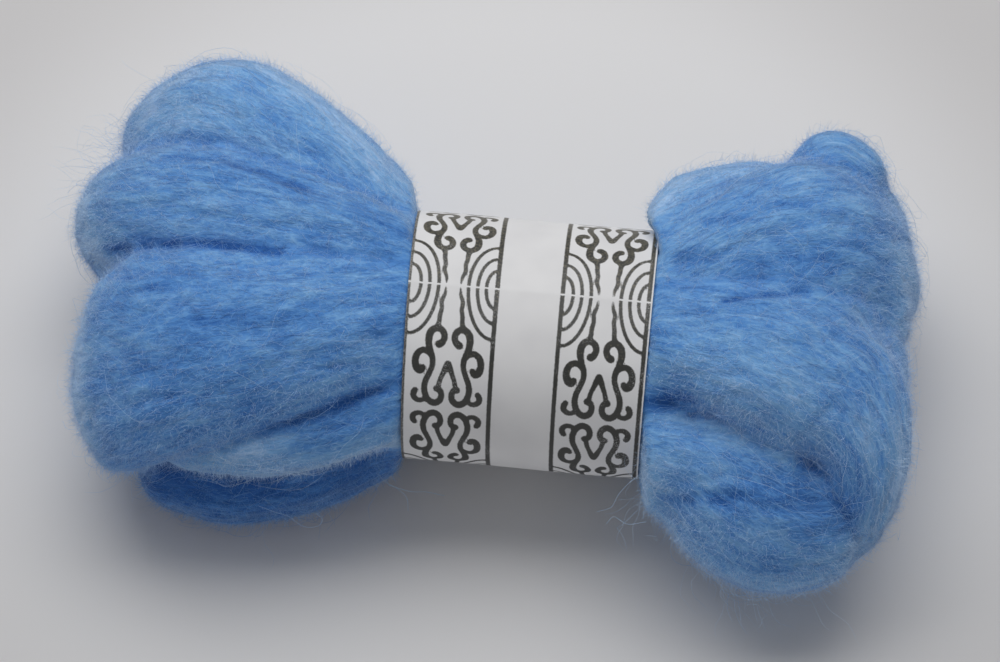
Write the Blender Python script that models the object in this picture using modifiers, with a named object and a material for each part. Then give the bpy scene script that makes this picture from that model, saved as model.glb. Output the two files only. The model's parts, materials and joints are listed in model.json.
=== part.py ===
"""A hank of combed wool roving, drawn in at the waist by a paper band.

One length of roving is laid back and forth in passes. At each end of the hank every pass
turns back on itself in a loop, and the loops fan out beyond the band. The roving is one
solid with its loops and the creases between them. The band is a closed oval sleeve of paper.

Metres, +Z up, X along the hank. The origin is on the surface below the middle of the hank.
"""
import math

import bmesh
import bpy
import numpy as np
from mathutils import Vector

MM = 0.001

# Paper band: an oval sleeve round the waist, its axis along X. Its left edge is a little
# out of square: it runs this much along X for each metre across, so the front is narrower.
BAND_LENGTH = 67.0 * MM
BAND_HALF_WIDTH = 37.0 * MM
BAND_HALF_HEIGHT = 30.5 * MM
BAND_THICK = 1.0 * MM
BAND_SLANT = 0.04
BAND_STEPS = 72
FIT_GAP = 0.3 * MM

# The waist's middle. Its place along X and Y puts the origin below the middle of the whole.
WAIST_X = 12.9 * MM
WAIST_Y = -7.5 * MM
WAIST_HEIGHT = 37.0 * MM

# Roving: how finely its passes are swept and fused
SECTION_POINTS = 20
STEPS_PER_ROW = 5
CAP_STEPS = 4
FUSE_VOXEL = 3.6 * MM
SOFTEN_TIMES = 4
FILL_TIMES = 5
ROVING_TRIANGLES = 8000

# What trims the roving flat where it lies on the surface
FLOOR_LENGTH = 400.0 * MM
FLOOR_WIDTH = 300.0 * MM
FLOOR_DEPTH = 40.0 * MM

# Finishes
WOOL_BLUE = (0.13, 0.38, 0.78)
WOOL_ROUGHNESS = 0.9
PAPER_WHITE = (0.72, 0.71, 0.70)
PAPER_ROUGHNESS = 0.7
SHARP_ANGLE = math.radians(40)

# Passes of the roving, in millimetres from the waist's middle on the surface.
# Each row is a section: x along the hank, y across it, z above the surface,
# half its breadth and half its thickness. A pass leaves the band, turns and comes back.
PASSES = {
    "left_back": [
        (-20, 18, 47, 10, 10),
        (-38, 26, 48, 12, 10),
        (-62, 42.5, 51, 16, 14),
        (-92, 58.5, 50, 20, 15),
        (-111, 60, 33, 18, 14),
        (-92, 60, 12, 16, 14),
        (-58, 45, 13, 14, 13),
        (-36, 26, 25, 11, 10),
        (-20, 18, 29, 10, 10),
    ],
    "left_upper": [
        (-20, 8, 55, 10, 9),
        (-38, 13, 56, 11, 11),
        (-66, 18.5, 57, 15, 13),
        (-100, 24.5, 52, 19.5, 15),
        (-120, 31, 34, 17.5, 14),
        (-102, 29, 12, 17, 14),
        (-62, 24, 13, 14, 13),
        (-36, 12, 20, 10, 10),
        (-20, 8, 21, 10, 9),
    ],
    "left_middle": [
        (-20, -6, 55, 12, 10),
        (-38, -9, 56, 16, 11),
        (-64, -17.5, 57, 21, 14),
        (-94, -23, 52, 28, 16),
        (-110.5, -19.5, 39, 30.5, 15.5),
        (-106, -11, 25, 21, 15),
        (-92, -10, 14, 20, 14),
        (-62, -13, 13, 20, 13),
        (-36, -8, 20, 12, 10),
        (-20, -6, 21, 12, 9),
    ],
    "left_front": [
        (-20, -20, 27, 10, 9),
        (-38, -26, 21, 10, 10),
        (-60, -34.5, 15, 12, 12),
        (-80, -38, 13, 14, 12),
        (-95, -36.5, 12.5, 12, 12),
    ],
    "left_veil": [
        (-20, -22, 43, 10, 9),
        (-38, -28, 43, 11, 10),
        (-58, -35, 41, 13, 11),
        (-80, -37.5, 38, 13, 11),
        (-110, -36, 37, 9.5, 10),
    ],
    "right_back": [
        (20, 18, 47, 10, 10),
        (36, 30, 49, 14, 13),
        (54, 44, 48, 14, 12),
        (73, 44, 49, 12, 12),
        (92, 49, 34, 13, 13),
        (74, 50, 12, 14, 13),
        (52, 44, 14, 12, 12),
        (36, 28, 25, 11, 10),
        (20, 18, 29, 10, 10),
    ],
    "right_upper": [
        (20, 8, 55, 10, 9),
        (38, 15, 56, 13, 11),
        (58, 26, 58, 18, 13),
        (79, 35, 53, 24, 15),
        (92, 39, 34, 25, 14),
        (78, 32, 12, 20, 14),
        (54, 24, 13, 15, 13),
        (36, 14, 21, 11, 10),
        (20, 8, 21, 10, 9),
    ],
    "right_sweep": [
        (20, -6, 55, 12, 10),
        (34, -8, 57, 14, 11),
        (48, -9, 58, 17, 12),
        (66, -12, 59, 20, 13),
        (84.5, -17, 52, 22, 14),
        (94, -30, 45, 14, 13),
        (94, -39.5, 36, 10, 12),
        (93, -43, 27, 8, 8),
    ],
    "right_under": [
        (20, -8, 21, 12, 9),
        (40, -10, 17, 16, 13),
        (64, -8, 13, 20, 15),
        (85, -4, 16, 22, 15),
        (90, 4, 38, 22, 14),
    ],
    "right_front": [
        (41.5, -34.5, 37, 14, 17),
        (52, -35.5, 33, 20.5, 18),
        (70, -41, 27, 24, 20),
        (83, -42.5, 28, 20, 17),
        (90.5, -40.5, 28.5, 13, 13),
    ],
    "right_tuck": [
        (76, 59, 46, 9.5, 9.5),
        (80.5, 61, 48, 11, 11),
        (86, 59, 46.5, 11, 11),
    ],
    "left_core": [
        (-20, 0, 37, 26, 22),
        (-44, 4, 37, 34, 24),
        (-70, 8, 34, 46, 26),
        (-92, 8, 32, 48, 22),
    ],
    "right_core": [
        (20, 0, 37, 26, 22),
        (40, 4, 36, 32, 24),
        (60, 5, 33, 40, 26),
        (80, 4, 31, 42, 22),
    ],
    "left_fill": [
        (-38, 2, 55, 10, 10),
        (-62, 3, 56, 13, 12),
        (-88, 4, 52, 14, 13),
        (-100, 4, 46, 12, 12),
    ],
    "right_fill": [
        (36, 2, 55, 12, 10),
        (56, 6, 56, 15, 11),
        (74, 9, 55, 17, 12),
        (84, 9, 48, 16, 12),
    ],
    "right_end_fill": [
        (70, 16, 38, 16, 20),
        (93, 17, 39, 15, 13),
    ],
    "waist_core": [
        (-37, 0, 37, 34, 29),
        (0, 0, 37, 38, 32),
        (37, 0, 37, 34, 29),
    ],
}
# How far a pass is rolled about its own path, in degrees, so that its front lies lower
ROLLS = {"left_middle": -15, "left_upper": -6}


def clear_scene():
    for thing in list(bpy.data.objects):
        bpy.data.objects.remove(thing, do_unlink=True)


def collection(name):
    made = bpy.data.collections.new(name)
    bpy.context.scene.collection.children.link(made)
    return made


def finish(name, colour, roughness):
    material = bpy.data.materials.new(name)
    material.use_nodes = True
    shader = material.node_tree.nodes["Principled BSDF"]
    shader.inputs["Base Color"].default_value = (*colour, 1.0)
    shader.inputs["Roughness"].default_value = roughness
    shader.inputs["Metallic"].default_value = 0.0
    return material


def new_object(name, mesh, home):
    thing = bpy.data.objects.new(name, mesh)
    home.objects.link(thing)
    return thing


def move_to(thing, home):
    for other in thing.users_collection:
        other.objects.unlink(thing)
    home.objects.link(thing)


def catmull_rom(before, start, end, after, share):
    """The point at share of the way from start to end on a curve through the four rows."""
    return 0.5 * (
        2 * start
        + (end - before) * share
        + (2 * before - 5 * start + 4 * end - after) * share**2
        + (3 * start - before - 3 * end + after) * share**3
    )


def smooth_rows(rows):
    """The table's sections with more of them in between, in metres."""
    rows = np.array(rows, float) * MM
    ends = np.vstack([2 * rows[0] - rows[1], rows, 2 * rows[-1] - rows[-2]])
    found = []
    for number in range(len(rows) - 1):
        four = ends[number : number + 4]
        for step in range(STEPS_PER_ROW):
            found.append(catmull_rom(*four, step / STEPS_PER_ROW))
    found.append(rows[-1])
    return np.array(found)


def round_ends(sections):
    """Adds shrinking sections beyond both ends, so that a pass ends in a dome."""
    low, high = [], []
    for added, end, inner in ((low, sections[0], sections[1]), (high, sections[-1], sections[-2])):
        outward = (end[:3] - inner[:3]) / np.linalg.norm(end[:3] - inner[:3])
        for step in range(1, CAP_STEPS):
            angle = step / CAP_STEPS * math.pi / 2
            section = end.copy()
            section[:3] += outward * end[4] * math.sin(angle)
            section[3:] *= math.cos(angle)
            added.append(section)
    return np.vstack([low[::-1], sections, high])


def frames(places, roll):
    """The breadth and thickness axes along a path, turning no more than it does."""
    directions = np.gradient(places, axis=0)
    directions /= np.linalg.norm(directions, axis=1)[:, None]
    breadth = np.cross([0, 0, 1.0], directions[0])
    breadth = breadth * math.cos(roll) + np.cross(directions[0], breadth) * math.sin(roll)
    found = []
    for direction in directions:
        breadth = breadth - direction * breadth.dot(direction)
        breadth /= np.linalg.norm(breadth)
        found.append((breadth, np.cross(direction, breadth)))
    return found


def sweep(bm, name):
    """Lofts one pass of the roving through its unlike oval sections."""
    sections = round_ends(smooth_rows(PASSES[name]))
    axes = frames(sections[:, :3], math.radians(ROLLS.get(name, 0)))
    rings = []
    for section, (breadth, thickness) in zip(sections, axes):
        ring = []
        for number in range(SECTION_POINTS):
            angle = 2 * math.pi * number / SECTION_POINTS
            place = section[:3] + breadth * section[3] * math.cos(angle)
            place = place + thickness * section[4] * math.sin(angle)
            ring.append(bm.verts.new(place))
        rings.append(ring)
    for ring, following in zip(rings, rings[1:]):
        for number in range(SECTION_POINTS):
            beside = (number + 1) % SECTION_POINTS
            bm.faces.new((ring[number], ring[beside], following[beside], following[number]))
    bm.faces.new(rings[0][::-1])
    bm.faces.new(rings[-1])


def passes_mesh():
    bm = bmesh.new()
    for name in PASSES:
        sweep(bm, name)
    bmesh.ops.translate(bm, verts=bm.verts, vec=Vector((WAIST_X, WAIST_Y, 0)))
    bmesh.ops.recalc_face_normals(bm, faces=bm.faces)
    mesh = bpy.data.meshes.new("passes")
    bm.to_mesh(mesh)
    bm.free()
    return mesh


def evaluated_mesh(thing):
    graph = bpy.context.evaluated_depsgraph_get()
    return bpy.data.meshes.new_from_object(thing.evaluated_get(graph))


def keep_largest_shell(mesh):
    """Deletes the walls of hollows left inside, and keeps the outside."""
    bm = bmesh.new()
    bm.from_mesh(mesh)
    left = set(bm.verts)
    shells = []
    while left:
        todo = [left.pop()]
        shell = []
        while todo:
            vertex = todo.pop()
            shell.append(vertex)
            for edge in vertex.link_edges:
                other = edge.other_vert(vertex)
                if other in left:
                    left.remove(other)
                    todo.append(other)
        shells.append(shell)
    outside = max(shells, key=len)
    for shell in shells:
        if shell is not outside:
            bmesh.ops.delete(bm, geom=shell, context="VERTS")
    bm.to_mesh(mesh)
    bm.free()


def settle(mesh):
    """Softens the skin, then raises each crease's floor: smoothing that only moves outward."""
    pairs = np.array([edge.vertices[:] for edge in mesh.edges])
    count = np.bincount(pairs.ravel(), minlength=len(mesh.vertices))[:, None]
    for turn in range(SOFTEN_TIMES + FILL_TIMES):
        points = np.array([vertex.co for vertex in mesh.vertices])
        normals = np.array([vertex.normal for vertex in mesh.vertices])
        total = np.zeros_like(points)
        np.add.at(total, pairs[:, 0], points[pairs[:, 1]])
        np.add.at(total, pairs[:, 1], points[pairs[:, 0]])
        moves = total / count - points
        if turn < SOFTEN_TIMES:
            points += moves / 2
        else:
            points += normals * np.maximum((moves * normals).sum(axis=1), 0)[:, None]
        mesh.vertices.foreach_set("co", points.ravel())
        mesh.update()


def oval_tube(name, half_width, half_height, length, home):
    """An open oval sleeve along X round the waist's middle."""
    bpy.ops.mesh.primitive_cylinder_add(
        vertices=BAND_STEPS,
        radius=1.0,
        depth=length,
        end_fill_type="NOTHING",
        location=(0, 0, 0),
    )
    thing = bpy.context.object
    thing.name = thing.data.name = name
    move_to(thing, home)
    for vertex in thing.data.vertices:
        across, up, along = vertex.co
        across *= half_width
        if along < 0:
            along -= BAND_SLANT * across
        vertex.co = Vector((along, across, up * half_height))
    thing.location = (WAIST_X, WAIST_Y, WAIST_HEIGHT)
    return thing


def add_wall(thing, thickness):
    wall = thing.modifiers.new("wall", "SOLIDIFY")
    wall.thickness = thickness
    wall.offset = 1.0
    wall.use_even_offset = True


def make_band(home):
    band = oval_tube(
        "band",
        BAND_HALF_WIDTH - BAND_THICK,
        BAND_HALF_HEIGHT - BAND_THICK,
        BAND_LENGTH,
        home,
    )
    add_wall(band, BAND_THICK)
    band.data.materials.append(finish("printed_paper", PAPER_WHITE, PAPER_ROUGHNESS))
    band.data.shade_smooth()
    band.data.set_sharp_from_angle(angle=SHARP_ANGLE)
    return band


def band_room(cutters):
    """What the band and all beyond it take out of the wool."""
    room = oval_tube(
        "band_room",
        BAND_HALF_WIDTH - BAND_THICK - FIT_GAP,
        BAND_HALF_HEIGHT - BAND_THICK - FIT_GAP,
        BAND_LENGTH + 2 * FIT_GAP,
        cutters,
    )
    add_wall(room, BAND_HALF_WIDTH)
    return room


def floor_room(cutters):
    """The space under the surface that the hank lies on."""
    bpy.ops.mesh.primitive_cube_add(size=1.0, location=(0, 0, -FLOOR_DEPTH / 2))
    room = bpy.context.object
    room.name = "floor_room"
    move_to(room, cutters)
    room.scale = (FLOOR_LENGTH, FLOOR_WIDTH, FLOOR_DEPTH)
    return room


def make_roving(home, cutters):
    loose = new_object("passes", passes_mesh(), cutters)
    fuse = loose.modifiers.new("fuse", "REMESH")
    fuse.mode = "VOXEL"
    fuse.voxel_size = FUSE_VOXEL
    mesh = evaluated_mesh(loose)
    bpy.data.objects.remove(loose, do_unlink=True)
    keep_largest_shell(mesh)
    settle(mesh)
    mesh.name = "roving"
    mesh.materials.append(finish("blue_wool", WOOL_BLUE, WOOL_ROUGHNESS))
    mesh.shade_smooth()
    roving = new_object("roving", mesh, home)

    soften = roving.modifiers.new("soften", "SMOOTH")
    soften.iterations = 1
    thin_out = roving.modifiers.new("thin_out", "DECIMATE")
    thin_out.ratio = ROVING_TRIANGLES / triangle_count(mesh)
    for cutter in (floor_room(cutters), band_room(cutters)):
        cutter.hide_render = True
        cutter.display_type = "WIRE"
        cut = roving.modifiers.new(cutter.name, "BOOLEAN")
        cut.operation = "DIFFERENCE"
        cut.object = cutter
    return roving


def triangle_count(mesh):
    mesh.calc_loop_triangles()
    return len(mesh.loop_triangles)


clear_scene()
hank = collection("wool_roving_hank")
cutters = collection("cutters")
make_roving(hank, cutters)
make_band(hank)
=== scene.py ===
# %% [markdown]
# # A hank of combed wool roving in a paper band
# Roving is a soft rope of combed fibres that has not been spun. Here one length of it is laid
# back and forth and drawn in at the waist by a printed paper band, so both ends open like fans.
# First comes the body of the wool, then the strands pressed into it, the fibres that lie on it,
# the stray hairs that stand off it, and last the band.

# %% Load the frame and note its size
import json
import math
from functools import partial

import bmesh
import bpy
import numpy as np
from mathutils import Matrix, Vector

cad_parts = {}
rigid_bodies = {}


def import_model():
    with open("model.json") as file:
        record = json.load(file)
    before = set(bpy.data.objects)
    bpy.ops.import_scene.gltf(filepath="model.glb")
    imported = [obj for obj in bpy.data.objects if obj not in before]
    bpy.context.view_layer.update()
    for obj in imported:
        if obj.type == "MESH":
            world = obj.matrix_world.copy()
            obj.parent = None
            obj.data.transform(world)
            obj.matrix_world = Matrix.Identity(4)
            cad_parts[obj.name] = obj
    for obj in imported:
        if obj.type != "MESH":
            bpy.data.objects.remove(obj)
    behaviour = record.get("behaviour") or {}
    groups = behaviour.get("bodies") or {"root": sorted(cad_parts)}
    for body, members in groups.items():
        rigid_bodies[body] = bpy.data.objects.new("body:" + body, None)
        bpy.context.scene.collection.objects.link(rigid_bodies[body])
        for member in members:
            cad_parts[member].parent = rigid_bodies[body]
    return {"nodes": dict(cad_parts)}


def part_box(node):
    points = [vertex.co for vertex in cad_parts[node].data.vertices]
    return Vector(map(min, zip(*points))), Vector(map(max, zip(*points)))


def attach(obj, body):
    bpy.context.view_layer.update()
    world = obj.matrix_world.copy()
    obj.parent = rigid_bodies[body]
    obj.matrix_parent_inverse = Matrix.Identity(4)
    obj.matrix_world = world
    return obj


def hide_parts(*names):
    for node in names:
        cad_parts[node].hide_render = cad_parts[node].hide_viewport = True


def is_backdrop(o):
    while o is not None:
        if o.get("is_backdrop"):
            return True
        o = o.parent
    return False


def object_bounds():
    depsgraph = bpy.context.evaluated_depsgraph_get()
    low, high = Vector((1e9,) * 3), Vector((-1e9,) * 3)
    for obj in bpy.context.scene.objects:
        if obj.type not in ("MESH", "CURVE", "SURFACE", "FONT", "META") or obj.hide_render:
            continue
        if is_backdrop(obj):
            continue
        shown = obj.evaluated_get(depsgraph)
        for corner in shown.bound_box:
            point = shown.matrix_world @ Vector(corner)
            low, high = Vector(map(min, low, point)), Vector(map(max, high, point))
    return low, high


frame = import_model()
cad_low, cad_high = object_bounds()
MM = 0.001
scene = bpy.context.scene
print("packed nodes:", sorted(frame["nodes"]))
print("size in mm:", [round(side / MM, 1) for side in cad_high - cad_low])

# %% [markdown]
# ## Where the band holds the wool
# The band is the one hard shape here, so the wool is placed from it. Its length is the straight
# edge on its right side. The left edge runs a little out of square, as cheap paper is cut.

# %% Read the waist from the frame
BAND_LENGTH = 67.0 * MM
BAND_SLANT = 0.04
PAPER = 1.0 * MM

band_low, band_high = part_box("band")
middle = (band_low + band_high) / 2
waist = Vector((band_high.x - BAND_LENGTH / 2, middle.y, middle.z))
band_half_width = (band_high.y - band_low.y) / 2
band_half_height = (band_high.z - band_low.z) / 2
print("waist middle in mm:", [round(value / MM, 2) for value in waist])

# %% [markdown]
# ## A short way to write node trees
# Node trees are long when written in full. So a few functions each add one node to the tree
# that is being written. Inputs go by name or by number: a value sets the socket, and another
# node's output is linked to it.

# %% Write helpers for node trees
open_tree = None


def begin_tree(tree):
    """Makes this the tree that the other helpers add to."""
    global open_tree
    open_tree = tree
    return tree


def find_socket(sockets, key):
    if isinstance(key, int):
        return sockets[key]
    for trait in ("identifier", "name"):
        for socket in sockets:
            if getattr(socket, trait) == key and socket.enabled:
                return socket


def feed(socket, value):
    if isinstance(value, bpy.types.NodeSocket):
        open_tree.links.new(value, socket)
    else:
        socket.default_value = value


def node(kind, inputs=None, out=0, **settings):
    """Adds a node and returns the output named or numbered by out."""
    made = open_tree.nodes.new(kind)
    for key, value in settings.items():
        setattr(made, key, value)
    for key, value in (inputs or {}).items():
        feed(find_socket(made.inputs, key), value)
    return find_socket(made.outputs, out)


def maths(operation, *values, **settings):
    return node("ShaderNodeMath", dict(enumerate(values)), operation=operation, **settings)


times, plus, minus, times_plus = (
    partial(maths, operation) for operation in ("MULTIPLY", "ADD", "SUBTRACT", "MULTIPLY_ADD")
)


def vector(operation, *values, out=0):
    return node("ShaderNodeVectorMath", dict(enumerate(values)), out, operation=operation)


def scaled(value, scale):
    return node("ShaderNodeVectorMath", {0: value, "Scale": scale}, operation="SCALE")


def split(value):
    return node("ShaderNodeSeparateXYZ", {0: value}).node.outputs[:]


def join(*values):
    return node("ShaderNodeCombineXYZ", dict(enumerate(values)))


def map_range(*values, **settings):
    """Maps a value from a start and an end to nought and one, or to a low and a high."""
    return node("ShaderNodeMapRange", dict(enumerate(values)), **settings)


def noise(place, scale, detail=1.0, seed=None, out=0, roughness=0.5):
    sockets = {"Vector": place, "Scale": scale, "Detail": detail, "Roughness": roughness}
    if seed is None:
        return node("ShaderNodeTexNoise", sockets, out)
    return node("ShaderNodeTexNoise", {**sockets, "W": seed}, out, noise_dimensions="4D")


def wandering(place, scale, size, seed=None):
    """A vector that wanders about nought as the place moves."""
    turned = vector("SUBTRACT", noise(place, scale, 1.0, seed, "Color"), (0.5, 0.5, 0.5))
    return scaled(turned, size)


def begin_material(name, inputs):
    """Begins a material, and returns it with its shader."""
    material = bpy.data.materials.new(name)
    material.use_nodes = True
    shader = begin_tree(material.node_tree).nodes["Principled BSDF"]
    for key, value in inputs.items():
        shader.inputs[key].default_value = value
    return material, shader


def colour_ramp(share, *stops):
    made = node("ShaderNodeValToRGB", {0: share}).node
    ramp_stops = made.color_ramp.elements
    while len(ramp_stops) < len(stops):
        ramp_stops.new(0.5)
    for element, (place, colour) in zip(ramp_stops, stops):
        element.position, element.color = place, (*colour, 1.0)
    return made.outputs[0]


def bump(shader, strength, depth, height):
    sockets = {"Strength": strength, "Distance": depth, "Height": height}
    feed(shader.inputs["Normal"], node("ShaderNodeBump", sockets))


def stored(name, out="Fac"):
    return node("ShaderNodeAttribute", out=out, attribute_name=name)


def object_place():
    return node("ShaderNodeTexCoord", out="Object")

# %% Write helpers for Geometry Nodes
SOCKET_KINDS = {"Geometry": "Geometry", "Points": "Int", "Seed": "Int", "Material": "Material"}


def begin_growth(name, numbers):
    """Begins a Geometry Nodes tree with these inputs, and returns what it is given."""
    face = begin_tree(bpy.data.node_groups.new(name, "GeometryNodeTree")).interface
    face.new_socket("Geometry", in_out="OUTPUT", socket_type="NodeSocketGeometry")
    for given in ("Geometry", *numbers, "Seed", "Material"):
        kind = "NodeSocket" + SOCKET_KINDS.get(given, "Float")
        face.new_socket(given, in_out="INPUT", socket_type=kind)
    return open_tree.nodes.new("NodeGroupInput").outputs


def geo(kind, inputs=None, out=0, **settings):
    return node("GeometryNode" + kind, inputs, out, **settings)


def attribute(name, kind="FLOAT"):
    return geo("InputNamedAttribute", {"Name": name}, data_type=kind)


def store(geometry, name, value):
    sockets = {"Geometry": geometry, "Name": name, "Value": value}
    return geo("StoreNamedAttribute", sockets, data_type="FLOAT", domain="POINT")


def chance(low, high, identity, seed):
    """A number between low and high for each identity."""
    sockets = {"Min_001": low, "Max_001": high, "ID": identity, "Seed": seed}
    return node("FunctionNodeRandomValue", sockets, "Value_001", data_type="FLOAT")


def above(geometry, height):
    """The geometry with no point lower than height."""
    across, along, upward = split(geo("InputPosition"))
    place = join(across, along, maths("MAXIMUM", upward, height))
    return geo("SetPosition", {"Geometry": geometry, "Position": place})


def finish_growth(geometry, material):
    """Ends the tree in Realize Instances and Set Material."""
    real = geo("RealizeInstances", {"Geometry": geometry})
    done = geo("SetMaterial", {"Geometry": real, "Material": material})
    feed(open_tree.nodes.new("NodeGroupOutput").inputs[0], done)
    return open_tree


def add_object(name, data, place=(0, 0, 0)):
    thing = bpy.data.objects.new(name, data)
    thing.location = place
    scene.collection.objects.link(thing)
    return thing


def evaluated_mesh(thing):
    graph = bpy.context.evaluated_depsgraph_get()
    return bpy.data.meshes.new_from_object(thing.evaluated_get(graph))


def triangle_count(mesh):
    mesh.calc_loop_triangles()
    return len(mesh.loop_triangles)


def grown(name, mesh, growth, values):
    """A plain mesh object that the tree grows from the given mesh."""
    thing = add_object(name, mesh)
    modifier = thing.modifiers.new(name, "NODES")
    modifier.node_group = growth
    for item in growth.interface.items_tree:
        if item.name in values:
            modifier[item.identifier] = values[item.name]
    grown_mesh = evaluated_mesh(thing)
    thing.modifiers.remove(modifier)
    thing.data = grown_mesh
    grown_mesh.name = name
    print(f"{name}: {triangle_count(grown_mesh)} triangles")
    return thing

# %% [markdown]
# ## Stage: floor, light and camera
# A pale floor, painted darker towards its corners as painted shade for light that falls off away
# from the middle, a broad soft lamp from the far side, a fill and a weak sky give the even light of
# a tent. The camera looks down steeply with a long lens, which keeps both fans of the hank at the
# same scale.

# %% Make the floor
FLOOR_SIDE = 6.0
FLOOR_ROUGHNESS = 0.9
FLOOR_GREY = (0.80, 0.79, 0.785)
# Painted shade: away from the hank the floor turns to this darker grey, for light that falls off.
FLOOR_PAINTED_SHADE_GREY = (0.64, 0.625, 0.62)
FADE_FROM, FADE_TO = 125 * MM, 205 * MM

floor_material, shader = begin_material("pale_floor", {"Roughness": FLOOR_ROUGHNESS})
away = vector("LENGTH", object_place(), out="Value")
fade = map_range(away, FADE_FROM, FADE_TO, interpolation_type="SMOOTHSTEP")
feed(shader.inputs["Base Color"], colour_ramp(fade, (0.0, FLOOR_GREY), (1.0, FLOOR_PAINTED_SHADE_GREY)))
floor_mesh = bpy.data.meshes.new("floor")
half = FLOOR_SIDE / 2
corners = [(-half, -half, 0), (half, -half, 0), (half, half, 0), (-half, half, 0)]
floor_mesh.from_pydata(corners, [], [(0, 1, 2, 3)])
floor_mesh.materials.append(floor_material)
floor = add_object("floor", floor_mesh)
floor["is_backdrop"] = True

# %% Set the light
# Each lamp has its place, its two sides and its power.
LAMPS = {
    "soft_lamp": ((-0.06, 0.33, 0.69), (1.0, 0.6), 4.75),
    "front_fill": ((-0.10, -1.0, 0.30), (1.2, 0.6), 1.2),
}
SKY_GREY = (0.93, 0.95, 1.0, 1.0)
SKY_STRENGTH = 0.21


def aim_at(thing, place):
    thing.rotation_euler = (place - thing.location).to_track_quat("-Z", "Y").to_euler()


for name, (place, sides, power) in LAMPS.items():
    lamp_data = bpy.data.lights.new(name, "AREA")
    lamp_data.shape = "RECTANGLE"
    lamp_data.size, lamp_data.size_y = sides
    lamp_data.energy = power
    aim_at(add_object(name, lamp_data, place), Vector((0, 0, 0)))

sky = bpy.data.worlds.new("sky")
sky.use_nodes = True
sky_inputs = sky.node_tree.nodes["Background"].inputs
sky_inputs["Color"].default_value = SKY_GREY
sky_inputs["Strength"].default_value = SKY_STRENGTH
scene.world = sky
scene.view_settings.view_transform = "Standard"
print("lamps:", len(LAMPS))

# %% Place the camera
CAMERA_AZIMUTH = math.radians(6)
CAMERA_ELEVATION = math.radians(58)
CAMERA_DISTANCE = 1.0
VIEW_WIDTH = 0.28
SENSOR_WIDTH = 36.0
AIM = Vector((4.27, -5.78, 39.63)) * MM

camera_data = bpy.data.cameras.new("camera")
camera_data.sensor_width = SENSOR_WIDTH
camera_data.lens = SENSOR_WIDTH * CAMERA_DISTANCE / VIEW_WIDTH
level = math.cos(CAMERA_ELEVATION)
sideways, forward = math.sin(CAMERA_AZIMUTH) * level, -math.cos(CAMERA_AZIMUTH) * level
toward_camera = Vector((sideways, forward, math.sin(CAMERA_ELEVATION)))
camera = add_object("camera", camera_data, AIM + toward_camera * CAMERA_DISTANCE)
aim_at(camera, AIM)
scene.camera = camera
print("lens in mm:", round(camera_data.lens, 2))

# %% [markdown]
# ## The passes of the roving
# Wound wool is easiest to keep true as what it is: passes of one soft rope. Each pass is a
# table of sections: the middle along the hank, across it and above the surface, then half the
# breadth and half the thickness, all in millimetres from the waist's middle.

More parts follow.
